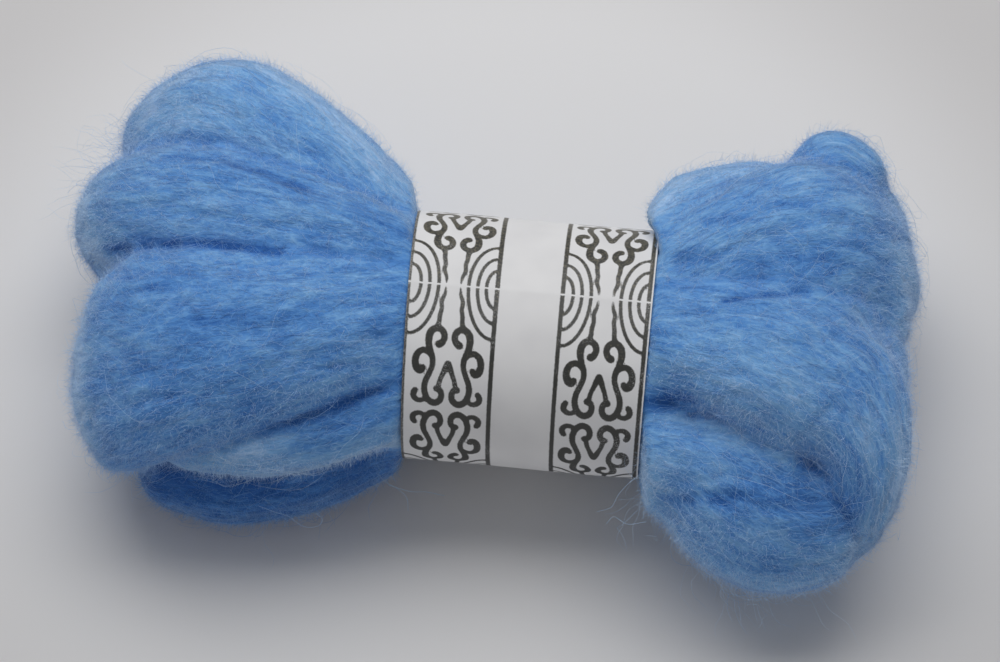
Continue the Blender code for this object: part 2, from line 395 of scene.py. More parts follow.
# %% List the passes
PASSES = {
    "left_back": [
        (-20, 18, 47, 10, 10), (-38, 26, 48, 12, 10), (-62, 42.5, 51, 16, 14),
        (-92, 58.5, 50, 20, 15), (-111, 60, 33, 18, 14), (-92, 60, 12, 16, 14),
        (-58, 45, 13, 14, 13), (-36, 26, 25, 11, 10), (-20, 18, 29, 10, 10),
    ],
    "left_upper": [
        (-20, 8, 55, 10, 9), (-38, 13, 56, 11, 11), (-66, 18.5, 57, 15, 13),
        (-100, 24.5, 52, 19.5, 15), (-120, 31, 34, 17.5, 14), (-102, 29, 12, 17, 14),
        (-62, 24, 13, 14, 13), (-36, 12, 20, 10, 10), (-20, 8, 21, 10, 9),
    ],
    "left_middle": [
        (-20, -6, 55, 12, 10), (-38, -9, 56, 16, 11), (-64, -17.5, 57, 21, 14),
        (-94, -23, 52, 28, 16), (-110.5, -19.5, 39, 30.5, 15.5), (-106, -11, 25, 21, 15),
        (-92, -10, 14, 20, 14), (-62, -13, 13, 20, 13), (-36, -8, 20, 12, 10), (-20, -6, 21, 12, 9),
    ],
    "left_front": [
        (-20, -20, 27, 10, 9), (-38, -26, 21, 10, 10), (-60, -34.5, 15, 12, 12),
        (-80, -38, 13, 14, 12), (-95, -36.5, 12.5, 12, 12),
    ],
    "left_veil": [
        (-20, -22, 43, 10, 9), (-38, -28, 43, 11, 10), (-58, -35, 41, 13, 11),
        (-80, -37.5, 38, 13, 11), (-110, -36, 37, 9.5, 10),
    ],
    "right_back": [
        (20, 18, 47, 10, 10), (36, 30, 49, 14, 13), (54, 44, 48, 14, 12), (73, 44, 49, 12, 12),
        (92, 49, 34, 13, 13), (74, 50, 12, 14, 13), (52, 44, 14, 12, 12), (36, 28, 25, 11, 10),
        (20, 18, 29, 10, 10),
    ],
    "right_upper": [
        (20, 8, 55, 10, 9), (38, 15, 56, 13, 11), (58, 26, 58, 18, 13), (79, 35, 53, 24, 15),
        (92, 39, 34, 25, 14), (78, 32, 12, 20, 14), (54, 24, 13, 15, 13), (36, 14, 21, 11, 10),
        (20, 8, 21, 10, 9),
    ],
    "right_sweep": [
        (20, -6, 55, 12, 10), (34, -8, 57, 14, 11), (48, -9, 58, 17, 12), (66, -12, 59, 20, 13),
        (84.5, -17, 52, 22, 14), (94, -30, 45, 14, 13), (94, -39.5, 36, 10, 12),
        (93, -43, 27, 8, 8),
    ],
    "right_under": [
        (20, -8, 21, 12, 9), (40, -10, 17, 16, 13), (64, -8, 13, 20, 15), (85, -4, 16, 22, 15),
        (90, 4, 38, 22, 14),
    ],
    "right_front": [
        (41.5, -34.5, 37, 14, 17), (52, -35.5, 34.5, 20.5, 19.5), (70, -41, 29, 24, 22),
        (83, -42.5, 28.5, 20, 17.5), (90.5, -40.5, 28.5, 13, 13),
    ],
    "right_tuck": [(76, 59, 46, 9.5, 9.5), (80.5, 61, 48, 11, 11), (86, 59, 46.5, 11, 11)],
    "left_core": [
        (-20, 0, 37, 26, 22), (-44, 4, 37, 34, 24), (-70, 8, 34, 46, 26), (-92, 8, 32, 48, 22),
    ],
    "right_core": [
        (20, 0, 37, 26, 22), (40, 4, 36, 32, 24), (60, 5, 33, 40, 26), (80, 4, 31, 42, 22),
    ],
    "left_fill": [
        (-38, 2, 55, 10, 10), (-62, 3, 56, 13, 12), (-88, 4, 52, 14, 13), (-100, 4, 46, 12, 12),
    ],
    "right_fill": [
        (36, 2, 55, 12, 10), (56, 6, 56, 15, 11), (74, 9, 55, 17, 12), (84, 9, 48, 16, 12),
    ],
    "right_end_fill": [(70, 16, 38, 16, 20), (93, 17, 39, 15, 13)],
    "waist_core": [(-37, 0, 37, 34, 29), (0, 0, 37, 38, 32), (37, 0, 37, 34, 29)],
}
# How far a pass is rolled about its own path, in degrees, so that its front lies lower.
ROLLS = {"left_middle": -15, "left_upper": -6}
print("passes:", len(PASSES), "sections:", sum(len(rows) for rows in PASSES.values()))

# %% Run a smooth path through the sections
STEPS_PER_ROW = 12
CAP_STEPS = 6


def catmull_rom(before, start, end, after, share):
    """The point at share of the way from start to end on a curve through the four rows."""
    return 0.5 * (
        2 * start
        + (end - before) * share
        + (2 * before - 5 * start + 4 * end - after) * share**2
        + (3 * start - before - 3 * end + after) * share**3
    )


def smooth_rows(rows, steps=STEPS_PER_ROW):
    """The table's sections with more of them in between, in metres."""
    rows = np.array(rows, float) * MM
    ends = np.vstack([2 * rows[0] - rows[1], rows, 2 * rows[-1] - rows[-2]])
    found = [
        catmull_rom(*ends[number : number + 4], step / steps)
        for number in range(len(rows) - 1)
        for step in range(steps)
    ]
    return np.array([*found, rows[-1]])


def round_ends(sections):
    """Adds shrinking sections beyond both ends, so that a pass ends in a dome."""
    low, high = [], []
    for added, end, inner in ((low, sections[0], sections[1]), (high, sections[-1], sections[-2])):
        outward = (end[:3] - inner[:3]) / np.linalg.norm(end[:3] - inner[:3])
        for step in range(1, CAP_STEPS):
            angle = step / CAP_STEPS * math.pi / 2
            section = end.copy()
            section[:3] += outward * end[4] * math.sin(angle)
            section[3:] *= math.cos(angle)
            added.append(section)
    return np.vstack([low[::-1], sections, high])


def frames(places, roll):
    """The direction, breadth and thickness axes along a path, turning no more than it does."""
    directions = np.gradient(places, axis=0)
    directions /= np.linalg.norm(directions, axis=1)[:, None]
    breadth = np.cross([0, 0, 1.0], directions[0])
    breadth = breadth * math.cos(roll) + np.cross(directions[0], breadth) * math.sin(roll)
    breadths = []
    for direction in directions:
        breadth = breadth - direction * breadth.dot(direction)
        breadth /= np.linalg.norm(breadth)
        breadths.append(breadth)
    breadths = np.array(breadths)
    return directions, breadths, np.cross(directions, breadths)


class Pass:
    """One pass of the roving: its middle line, its axes, and its half sizes along them."""

    def __init__(self, name, rows):
        sections = round_ends(smooth_rows(rows))
        self.places = sections[:, :3] + np.array((waist.x, waist.y, 0))
        self.half_breadth, self.half_thickness = sections[:, 3], sections[:, 4]
        roll = math.radians(ROLLS.get(name, 0))
        self.directions, self.breadths, self.thicknesses = frames(self.places, roll)
        self.wide = self.breadths * self.half_breadth[:, None]
        self.thick = self.thicknesses * self.half_thickness[:, None]
        steps = np.linalg.norm(np.diff(self.places, axis=0), axis=1)
        self.lengths = np.concatenate([[0], np.cumsum(steps)])


passes = [Pass(name, rows) for name, rows in PASSES.items()]
names = list(PASSES)
print("longest pass in mm:", round(max(one.lengths[-1] for one in passes) / MM))

# %% [markdown]
# ## Fusing the passes into one body
# Swept tubes cut through each other where they meet. A voxel remesh joins them into one skin
# with soft valleys, as pressed wool has. It leaves walls round pockets that nobody sees, so
# only the outermost shell is kept.

# %% Sweep and fuse
SECTION_POINTS = 36
FUSE_VOXEL = 1.4 * MM
SOFTEN_TIMES = 8


def swept(name, some_passes, sides=SECTION_POINTS):
    """A mesh of passes that are each lofted through their unlike oval sections."""
    bm = bmesh.new()
    angles = 2 * np.pi * np.arange(sides) / sides
    for one in some_passes:
        rings = []
        for place, wide, thick in zip(one.places, one.wide, one.thick):
            ring = place + np.outer(np.cos(angles), wide) + np.outer(np.sin(angles), thick)
            rings.append([bm.verts.new(point) for point in ring])
        for ring, following in zip(rings, rings[1:]):
            for number in range(sides):
                beside = (number + 1) % sides
                bm.faces.new((ring[number], ring[beside], following[beside], following[number]))
        bm.faces.new(rings[0][::-1])
        bm.faces.new(rings[-1])
    bmesh.ops.recalc_face_normals(bm, faces=bm.faces)
    mesh = bpy.data.meshes.new(name)
    bm.to_mesh(mesh)
    bm.free()
    return mesh


def read_rows(items, key, width=3, kind=float):
    """One row of numbers for each of a mesh's items."""
    flat = np.empty(len(items) * width, kind)
    items.foreach_get(key, flat)
    return flat.reshape(-1, width)


def edges_of(mesh):
    return read_rows(mesh.edges, "vertices", 2, int)


def largest_shell(mesh):
    """True for each vertex that belongs to the shell with the most vertices."""
    first, second = edges_of(mesh).T
    label = np.arange(len(mesh.vertices))
    while True:
        lowest = np.minimum(label[first], label[second])
        following = label.copy()
        np.minimum.at(following, first, lowest)
        np.minimum.at(following, second, lowest)
        following = following[following]
        if np.array_equal(following, label):
            return label == np.bincount(label).argmax()
        label = following


loose = add_object("sweeps", swept("sweeps", passes))
fuse = loose.modifiers.new("fuse", "REMESH")
fuse.mode = "VOXEL"
fuse.voxel_size = FUSE_VOXEL
body_mesh = evaluated_mesh(loose)
bpy.data.objects.remove(loose, do_unlink=True)

outside = largest_shell(body_mesh)
shells = bmesh.new()
shells.from_mesh(body_mesh)
inner = [vertex for vertex in shells.verts if not outside[vertex.index]]
bmesh.ops.delete(shells, geom=inner, context="VERTS")
shells.to_mesh(body_mesh)
shells.free()
print("fused body:", triangle_count(body_mesh), "triangles;", len(inner), "inner points removed")

# %% [markdown]
# ## Which pass a point belongs to
# Where two passes meet there is a crease: deep where a fold was laid on another, hardly there
# where two loops were pulled flat together. So each point looks for the pass it lies on, by its
# distance in units of that pass's own oval, and for the runner-up. Where both are equally near
# there is a crease, and a list says how strong it is. Cores and fills make none.

# %% Read the passes at each point
LIE_RADIUS = 12.0 * MM
CREASE_WIDTH = 0.11
CORE_REACH = 0.35
SOFT_CREASE = 0.12
CREASES = (
    ("left_back", "left_upper", 0.5),
    ("left_upper", "left_middle", 0.6),
    ("left_middle", "left_veil", 0.9),
    ("left_veil", "left_front", 1.0),
    ("right_upper", "right_sweep", 0.2),
    ("right_sweep", "right_front", 0.45),
    ("right_tuck", "right_upper", 0.7),
    ("right_tuck", "right_back", 0.7),
)
# Painted light and shade on whole passes: the low front fold and the middle loop are painted darker
# where shade falls, and the veil, the back loops and the right front are painted lighter.
PASS_LIGHT_AND_SHADE = {"left_front": -0.30, "left_veil": 0.17, "left_middle": -0.06}
PASS_LIGHT_AND_SHADE |= {"right_back": 0.09, "right_front": 0.03, "left_back": 0.03}
cores = [number for number, name in enumerate(names) if name.endswith(("core", "fill"))]


def on_pass(one, points):
    """For each point: its oval distance from the pass, its lie on it and its fibre direction."""
    squares = (points**2).sum(1)[:, None] + (one.places**2).sum(1)[None]
    nearest = (squares - 2 * points @ one.places.T).argmin(1)
    offset = points - one.places[nearest]
    along = (offset * one.directions[nearest]).sum(1)
    across = (offset * one.breadths[nearest]).sum(1) / one.half_breadth[nearest]
    upward = (offset * one.thicknesses[nearest]).sum(1) / one.half_thickness[nearest]
    flat = np.hypot(across, upward)
    past_end = np.where((nearest == 0) | (nearest == len(one.places) - 1), np.abs(along), 0)
    distance = np.hypot(flat, past_end / one.half_thickness[nearest])
    around = np.maximum(flat, 1e-6)
    cosine, sine = across / around, upward / around
    lie = np.stack([LIE_RADIUS * cosine, LIE_RADIUS * sine, one.lengths[nearest] + along], axis=1)
    before, after = np.maximum(nearest - 1, 0), np.minimum(nearest + 1, len(one.places) - 1)
    flow = one.places[after] - one.places[before]
    flow += cosine[:, None] * (one.wide[after] - one.wide[before])
    flow += sine[:, None] * (one.thick[after] - one.thick[before])
    return distance, lie, flow / np.linalg.norm(flow, axis=1)[:, None]


crease_share = np.full((len(passes), len(passes)), SOFT_CREASE)
crease_share[cores] = crease_share[:, cores] = 0
for first, other, share in CREASES:
    pair = names.index(first), names.index(other)
    crease_share[pair] = crease_share[pair[::-1]] = share


def read_passes(points):
    """For each point: the passes' distances, lies and flows, its owner, and its crease."""
    found = [on_pass(one, points) for one in passes]
    distances, lies, flows = (np.array([one[kind] for one in found]) for kind in range(3))
    distances[cores] += CORE_REACH
    owner, second_owner = distances.argsort(0)[:2]
    everyone = np.arange(len(points))
    apart = distances[second_owner, everyone] - distances[owner, everyone]
    valley = np.exp(-apart / CREASE_WIDTH) * crease_share[owner, second_owner]
    return distances, lies, flows, owner, apart, valley


# %% [markdown]
# ## Drawing the wool in
# The wool has to go through the band and lie on the floor. A Boolean would cut it off sharply,
# but real wool is squeezed. So each point that is too far out is drawn in towards the band's
# middle line, with more room beyond the band's edges, and is pressed flat at the floor.

# %% Smooth, draw in and press flat
FILL_TIMES = 60
NORMALS_EVERY = 8
KEPT_OPEN, KEPT_FROM = 0.9, 0.7
PAPER_CLEAR = 1.1 * MM
STRAIGHT_MOUTH = 0.4 * MM
MOUTH_DEPTH, MOUTH_LENGTH, MOUTH_SLOPE = 12.0 * MM, 2.8 * MM, 2.2
PUFF, PUFF_REACH = 9.0 * MM, 4.5 * MM
PUFF_FROM, PUFF_RISE = 0.6 * MM, 3.5 * MM
PUFF_FRONT = 0.2


def beyond_band(points):
    """How far each point lies beyond the band's ends along X, below nought inside it."""
    left = waist.x - BAND_LENGTH / 2 - BAND_SLANT * (points[:, 1] - waist.y)
    right = waist.x + BAND_LENGTH / 2
    return np.maximum(left - points[:, 0], points[:, 0] - right)


def drawn_in(points):
    """The points moved in to where the band and the floor leave room for wool."""
    beyond = np.maximum(beyond_band(points) - STRAIGHT_MOUTH, 0)
    spare = MOUTH_DEPTH * (1 - np.exp(-beyond / MOUTH_LENGTH)) + MOUTH_SLOPE * beyond
    spare -= PAPER + PAPER_CLEAR
    across, upward = points[:, 1] - waist.y, points[:, 2] - waist.z
    share = np.hypot(across / (band_half_width + spare), upward / (band_half_height + spare))
    share = np.maximum(share, 1.0)
    height = np.maximum(waist.z + upward / share, 0)
    return np.stack([points[:, 0], waist.y + across / share, height], axis=1)


def smoothed(points, edges, times):
    """Each point moved halfway to the mean of its neighbours, times over."""
    count = np.bincount(edges.ravel(), minlength=len(points))[:, None]
    for _ in range(times):
        total = np.zeros_like(points)
        for axis in range(points.shape[1]):
            for here, there in ((0, 1), (1, 0)):
                beside = points[edges[:, there], axis]
                total[:, axis] += np.bincount(edges[:, here], beside, len(points))
        points = (points + total / count) / 2
    return points


def set_points(mesh, points):
    mesh.vertices.foreach_set("co", np.asarray(points, np.float32).ravel())
    mesh.update()


def filled(mesh, points, edges, share):
    """Raises the floor of each valley: smoothing that only moves points outward."""
    for turn in range(FILL_TIMES):
        if turn % NORMALS_EVERY == 0:
            set_points(mesh, points)
            normals = read_rows(mesh.vertex_normals, "vector")
        rise = ((smoothed(points, edges, 1) - points) * normals).sum(1)
        points = points + normals * (np.maximum(2 * rise, 0) * share)[:, None]
    return points


def puffed_over(points):
    """The points by the back of the band's right edge leant over it, more the higher they are."""
    across = (points[:, 1] - waist.y) / band_half_width
    upward = (points[:, 2] - waist.z) / band_half_height
    height = (np.hypot(across, upward) - 1) * band_half_height
    lean = np.clip((height - PUFF_FROM) / PUFF_RISE, 0, 1) * np.clip(across + PUFF_FRONT, 0, 1)
    beyond = points[:, 0] - waist.x - BAND_LENGTH / 2
    moved = points.copy()
    moved[:, 0] -= PUFF * lean * np.exp(-np.maximum(beyond, 0) / PUFF_REACH) * (beyond > 0)
    return moved


edges = edges_of(body_mesh)
body_points = smoothed(read_rows(body_mesh.vertices, "co"), edges, SOFTEN_TIMES)
fill_share = np.clip(1 - KEPT_OPEN * (read_passes(body_points)[5] - KEPT_FROM), 0, 1)
body_points = filled(body_mesh, body_points, edges, fill_share)
body_points = drawn_in(smoothed(drawn_in(body_points), edges, 3))
beyond = beyond_band(body_points)
body_points = puffed_over(body_points)
set_points(body_mesh, body_points)
print("drawn-in body, size in mm:", np.ptp(body_points, axis=0).round(4) / MM)

# %% [markdown]
# ## Partings, hollows and painted light
# Each mark is a line that fades to both sides, shifts the tone and may sink the surface. Dark marks
# are painted shade, laid in partings, creases and hollows where shade falls, and some also sink a
# groove. Pale marks are painted light on rims, veils and faces that the lamp leaves too dark. Each
# mark's row gives its reach in millimetres, its tone, its depth and the line's places, measured as
# for the passes.

# %% List the marks
MARKS = (
    (3.5, 0.07, 0.0, (-119, 16, 52), (-99, 13, 63)),
    (1.5, -0.22, 0.4, (-121, 12, 47), (-101, 7, 62), (-82, 5, 67), (-70, 4, 68)),
    (4.0, -0.10, 0.1, (-105, 34, 64), (-88, 30, 69), (-67, 25, 69)),
    (2.6, -0.13, 0.2, (-85, 31, 68), (-72, 27, 69), (-59, 23, 69)),
    (2.6, -0.16, 0.2, (-50, 21, 68), (-43, 17, 67), (-35, 14, 66)),
    (1.4, -0.14, 0.2, (-110, -11, 64), (-95, -11, 70)),
    (5.0, -0.14, 0.1, (-98, -23, 68), (-80, -22, 71), (-62, -19, 71)),
    (3.6, -0.08, 0.2, (-33, -26, 56), (-40, -30, 55), (-47, -35, 54)),
    (2.4, -0.04, 0.1, (-47, -35, 54), (-60, -42, 51), (-76, -46, 49)),
    (4.5, 0.14, -0.4, (-101, -44, 37), (-86, -45, 42), (-72, -46, 46)),
    (7.5, -0.30, 0.0, (-36, -34, 52), (-44, -39, 50), (-56, -43, 49)),
    (5.0, 0.10, -0.3, (-38, -27, 57), (-48, -32, 57), (-60, -37, 55)),
    (6.0, 0.30, 0.0, (-38, -41, 35), (-48, -45, 33), (-60, -47, 29)),
    (3.5, -0.12, 0.0, (-98, -45, 20), (-64, -45, 22)),
    (1.3, -0.06, 0.2, (39, 12, 67), (52, 13, 69), (66, 13, 69)),
    (1.2, -0.07, 0.1, (40, 15, 67), (49, 15, 68)),
    (6.0, -0.10, 0.0, (63, 15, 68), (81, 19, 66), (97, 26, 57)),
    (1.3, -0.20, 0.3, (52, 0, 69), (63, 3, 69), (76, 7, 67)),
    (1.2, -0.18, 0.2, (66, 31, 71), (74, 32, 70)),
    (1.3, -0.07, 0.1, (46, 25, 69), (61, 25, 71)),
    (1.3, -0.15, 0.1, (78, 32, 70), (84, 33, 67)),
    (3.2, -0.10, 0.0, (51, 43, 62), (59, 40, 68)),
    (6.0, 0.07, 0.0, (41, 20, 66), (58, 18, 68)),
    (4.0, -0.04, 0.0, (35, 1, 67), (38, -10, 69)),
    (2.6, -0.20, 0.5, (35, -27, 56), (46, -27, 58)),
    (5.0, 0.10, -0.3, (50, -28, 58), (61, -32, 57), (72, -36, 55)),
    (7.0, 0.10, 0.0, (43, -21, 65), (54, -23, 67), (68, -28, 65), (86, -33, 60)),
    (9.0, -0.06, 0.0, (38, -9, 69), (70, -4, 70), (88, -7, 65), (99, -18, 59)),
    (2.0, -0.16, 0.3, (41, -48, 41), (59, -51, 49)),
    (6.5, -0.23, 0.0, (63, -51, 49), (75, -51, 48), (88, -49, 44)),
    (6.0, 0.10, 0.0, (37, -43, 48), (40, -50, 36)),
    (7.0, -0.06, 0.0, (72, -38, 57), (84, -42, 52), (93, -47, 42)),
    (4.5, -0.10, 0.0, (59, -62, 36), (75, -63, 36)),
    (5.0, 0.04, 0.0, (94, -3, 59), (98, -23, 60)),
    (6.0, 0.22, 0.0, (105, -27, 52), (104, -40, 47), (97, -51, 33)),
    (6.0, 0.24, 0.0, (103, 30, 51), (106, 22, 44), (103, 11, 44)),
    (5.0, 0.09, 0.0, (68, 60, 58), (79, 64, 59), (92, 59, 52)),
    (4.0, -0.12, 0.0, (73, 50, 65), (82, 50, 63), (92, 43, 60)),
    (7.0, 0.26, 0.0, (-130, 26, 45), (-127, 16, 42), (-123, 12, 40)),
    (6.0, 0.14, 0.0, (-119, 53, 47), (-109, 52, 57), (-94, 50, 63)),
    (6.0, 0.34, 0.0, (-128, 10, 40), (-124, -23, 47), (-120, -41, 37)),
    (6.0, 0.22, 0.0, (-116, 61, 51), (-103, 69, 57), (-84, 69, 61), (-68, 59, 62), (-53, 46, 61),
     (-40, 36, 57)),
    (6.0, 0.13, 0.0, (32, 32, 62), (34, 42, 59), (45, 51, 57), (62, 49, 63)),
    (4.0, 0.10, 0.0, (40, -50, 33), (60, -66, 28), (78, -66, 28), (92, -58, 28)),
)


def near_line(points, places, reach):
    """One on the line through the given places, fading to nought over the reach."""
    places = np.array(places) * MM + np.array((waist.x, waist.y, 0))
    away = np.full(len(points), np.inf)
    for start, run in zip(places, np.diff(places, axis=0)):
        share = np.clip((points - start) @ run / (run @ run), 0, 1)
        gap = points - start - share[:, None] * run
        away = np.minimum(away, np.linalg.norm(gap, axis=1))
    return np.exp(-((away / (reach * MM)) ** 2))


# Each mark adds painted light or painted shade by its tone, and sinks the surface by its depth.
mark_light_and_shade, mark_depth = np.zeros((2, len(body_points)))
for reach, tone, depth, *places in MARKS:
    near = near_line(body_points, places, reach)
    mark_light_and_shade += tone * near
    mark_depth += depth * near
print("marks:", len(MARKS), "deepest share:", round(mark_depth.max(), 2))

# %% [markdown]
# ## Which way the fibres lie
# Strands, hairs and streaks of colour all follow the fibres. So each point gets two attributes.
# `flow` is the direction of the fibres there. `lie` is its place on its pass: the distance round
# it in the first two numbers and the way along it in the third. Fibres that start together in
# the band stay together as the pass widens.

# %% Find how the fibres lie at each point
LIE_APART = 400.0 * MM
BLEND_SHARE = 0.07
SEAM_WIDTH = 0.03
TONE_SOFTENING = 12
VALLEY_SHADE = 0.22

distances, lies, flows, owner, apart, valley = read_passes(body_points)
everyone = np.arange(len(body_points))
lies = lies[owner, everyone]
lies[:, 2] += owner * LIE_APART
own_flow = flows[owner, everyone]
weights = np.exp(-(distances - distances[owner, everyone]) / BLEND_SHARE)
signs = np.where((flows * own_flow[None]).sum(2) < 0, -1.0, 1.0)
flow = (flows * (weights * signs)[:, :, None]).sum(0)
pass_light_and_shade = np.array([PASS_LIGHT_AND_SHADE.get(name, 0.0) for name in names])[owner]
softened = smoothed(np.stack([valley, pass_light_and_shade], axis=1), edges, 3)
valley = np.maximum(softened[:, 0] + mark_depth, 0)
# Painted shade: creases are darkened by VALLEY_SHADE, on top of the passes' and marks' painted
# light and shade.
shade = smoothed(softened, edges, TONE_SOFTENING)[:, 1] + mark_light_and_shade - VALLEY_SHADE * valley
seam = np.exp(-apart / SEAM_WIDTH)
seam[edges[owner[edges[:, 0]] != owner[edges[:, 1]]]] = 1
seam = np.maximum(seam, smoothed(seam[:, None], edges, 2)[:, 0])
print("passes that reach the skin:", len(np.unique(owner)))

# %% Write the attributes
# Hairs stand off most where the wool is not pressed, on its sides. Wisps hang from a few
# lines, each given with its reach.
SIDE_FROM, SIDE_TO = -0.9, -0.3
BELOW_FROM, BELOW_TO = 0.5, 0.8
VALLEY_FROM, VALLEY_TO = 0.15, 0.5
DARK_FROM, DARK_TO = 0.03, 0.12
TOP_SHARE = 0.12
UNDERSIDE_SHARE = 0.12
BARE_UNDER_BAND = 3.0 * MM
BARE_HEIGHT = 0.2 * MM
OPEN_FROM, OPEN_OVER = 1.0 * MM, 6.0 * MM
WISPS = (
    (10.0, [(-122, 49, 42), (-126, 40, 45)]),
    (3.5, [(-41, -37, 24), (-54, -45, 17), (-69, -48, 19)]),
    (4.0, [(-105, -48, 24), (-96, -48, 24)]),
    (3.5, [(35, -42, 45), (36, -48, 30)]),
    (5.0, [(46, -60, 26), (70, -68, 20), (84, -64, 18)]),
)


def write_attributes(mesh, **attributes):
    for name, values in attributes.items():
        kind, key = ("FLOAT_VECTOR", "vector") if values.ndim == 2 else ("FLOAT", "value")
        data = mesh.attributes.new(name, kind, "POINT").data
        data.foreach_set(key, np.asarray(values, np.float32).ravel())


def ramp(values, start, end):
    """Nought before start, one after end, and an even rise between them."""
    return np.clip((values - start) / (end - start), 0, 1)


normals = read_rows(body_mesh.vertex_normals, "vector")
flow -= normals * (flow * normals).sum(1)[:, None]
flow /= np.maximum(np.linalg.norm(flow, axis=1), 1e-9)[:, None]
bare = (beyond < -BARE_UNDER_BAND) | (body_points[:, 2] < BARE_HEIGHT)
below = ramp(-normals[:, 2], BELOW_FROM, BELOW_TO)
cover = np.where(bare, 0.0, 1 - (1 - UNDERSIDE_SHARE) * below)
open_room = ramp(beyond, OPEN_FROM, OPEN_OVER)
hair_room = cover * open_room
side = ramp(-normals[:, 2], SIDE_FROM, SIDE_TO)
pressed = np.maximum(ramp(valley, VALLEY_FROM, VALLEY_TO), ramp(-mark_light_and_shade, DARK_FROM, DARK_TO))
wisps = np.max([near_line(body_points, places, reach) for reach, places in WISPS], axis=0)
side_room = hair_room * (1 - pressed) * (TOP_SHARE + (1 - TOP_SHARE) * side)
write_attributes(body_mesh, flow=flow, lie=lies, seam=seam, valley=valley, shade=shade)
write_attributes(body_mesh, open_room=open_room, cover=cover, hair_room=hair_room)
write_attributes(body_mesh, side_room=side_room, wisp_room=hair_room * wisps)
print(f"covered skin: {cover.mean():.0%}, open to hairs: {hair_room.mean():.0%}")

# %% [markdown]
# ## The wool's finish
# Wool scatters light between thousands of fibres, so it looks soft and matt, and paler where
# it is seen at a slant. Sheen gives that paler rim, and painted light in the stored shade lightens
# the rims further. Dyed fibres also show as lighter and darker streaks along the lie, and a fine
# bump stands in for fibres too thin to model. The stored shade also paints shade into creases,
# hollows and low folds.

# %% Make the wool's two materials
# The darkest stop is painted shade, reached where creases, hollows and the low front fold are
# painted darker.
WOOL_PAINTED_SHADE = (0.03, 0.13, 0.42)
WOOL_DEEP = (0.10, 0.285, 0.655)
WOOL_MID = (0.215, 0.445, 0.77)
WOOL_PALE = (0.42, 0.62, 0.90)
# The palest fibre colour: single fibres look paler than the mass, and this is painted lighter still
# as painted light on the rims.
WOOL_PALEST_PAINTED_LIGHT = (0.62, 0.78, 0.96)
WOOL_SPECULAR = 0.12
WOOL_SHEEN_TINT = (0.7, 0.84, 1.0, 1.0)
STREAK_STRETCH, STREAK_SCALE, STREAK_SHARE = 0.16, 300.0, 0.4
FIBRE_STRETCH, FIBRE_SCALE, FIBRE_SHARE = 0.2, 800.0, 0.6
CLOUD_SCALE, CLOUD_CONTRAST, BASE_TONE = 90.0, 0.35, 0.14
STRAND_CONTRAST, LINE_CONTRAST, LINE_HEIGHT = 1.1, 0.14, 0.12
WOOL_BUMP, WOOL_BUMP_DEPTH = 0.6, 1.1 * MM
# The fine lines: the size of their curls, their seed, their half width and whether combed.
FINE_LINES = ((0.9, 1.0, 0.05, True), (1.3, 2.0, 0.04, True), (1.6, 3.0, 0.03, False))


def begin_wool(name, roughness, sheen, sheen_roughness):
    inputs = {"Roughness": roughness, "Sheen Weight": sheen, "Sheen Roughness": sheen_roughness}
    inputs |= {"Specular IOR Level": WOOL_SPECULAR, "Sheen Tint": WOOL_SHEEN_TINT}
    return begin_material(name, inputs)


def stretched(place, axis, stretch):
    """The place with one of its three numbers made smaller, so that noise is drawn out."""
    numbers = list(split(place))
    numbers[axis] = times(numbers[axis], stretch)
    return join(*numbers)


def strands_at(place, axis):
    """Streaks of two sizes, about nought, drawn out along one axis of the place."""
    broad = noise(stretched(place, axis, STREAK_STRETCH), STREAK_SCALE, 3.0)
    felt = noise(stretched(place, axis, FIBRE_STRETCH), FIBRE_SCALE, 4.0, roughness=0.65)
    return minus(times_plus(felt, FIBRE_SHARE, times(broad, STREAK_SHARE)), 0.5)


wool_skin, shader = begin_wool("blue_wool_skin", 0.8, 1.0, 0.35)
lie, seam_here = stored("lie", "Vector"), stored("seam")
place = object_place()
off_seam = minus(1.0, seam_here)
combed = stretched(lie, 2, FIBRE_STRETCH)
strands = times(strands_at(lie, 2), off_seam)
strands = times_plus(strands_at(place, 0), seam_here, strands)
cloud = times_plus(noise(place, CLOUD_SCALE, 3.0), CLOUD_CONTRAST, BASE_TONE)
share = times_plus(strands, STRAND_CONTRAST, cloud)
lines = 0.0
for size, seed, half_width, is_combed in FINE_LINES:
    # A thin curly line runs where a noise crosses its middle value.
    curls = noise(combed if is_combed else place, 1 / (size * MM), 1.0, seed)
    away = maths("ABSOLUTE", minus(curls, 0.5))
    lines = maths("MAXIMUM", map_range(away, half_width, 0.0), lines)
lines = times(lines, off_seam)
# The stored shade paints light and shade into the colour: darker creases, hollows and folds,
# lighter rims and veils.
share = plus(times_plus(lines, LINE_CONTRAST, share), stored("shade"))
skin_stops = ((0.0, WOOL_PAINTED_SHADE), (0.26, WOOL_DEEP), (0.50, WOOL_MID), (0.78, WOOL_PALE))
feed(shader.inputs["Base Color"], colour_ramp(share, *skin_stops))
bump(shader, WOOL_BUMP, WOOL_BUMP_DEPTH, times_plus(lines, LINE_HEIGHT, strands))

wool_fibre, shader = begin_wool("blue_wool_fibre", 0.7, 0.2, 0.45)
fibre_stops = ((0.0, WOOL_PAINTED_SHADE), (0.2, WOOL_DEEP), (0.45, WOOL_MID), (0.8, WOOL_PALE))
feed(shader.inputs["Base Color"], colour_ramp(stored("tone"), *fibre_stops, (1.0, WOOL_PALEST_PAINTED_LIGHT)))
print("wool materials:", wool_skin.name, "and", wool_fibre.name)

# %% [markdown]
# ## Pressing strands into the wool
# Combed wool parts into strands that run with the fibres. A noise read on `lie` is stretched
# along the pass, because the third number is made smaller. The surface sinks where that noise
# crosses its middle value. Real depth, unlike bump, also shows at the outline.

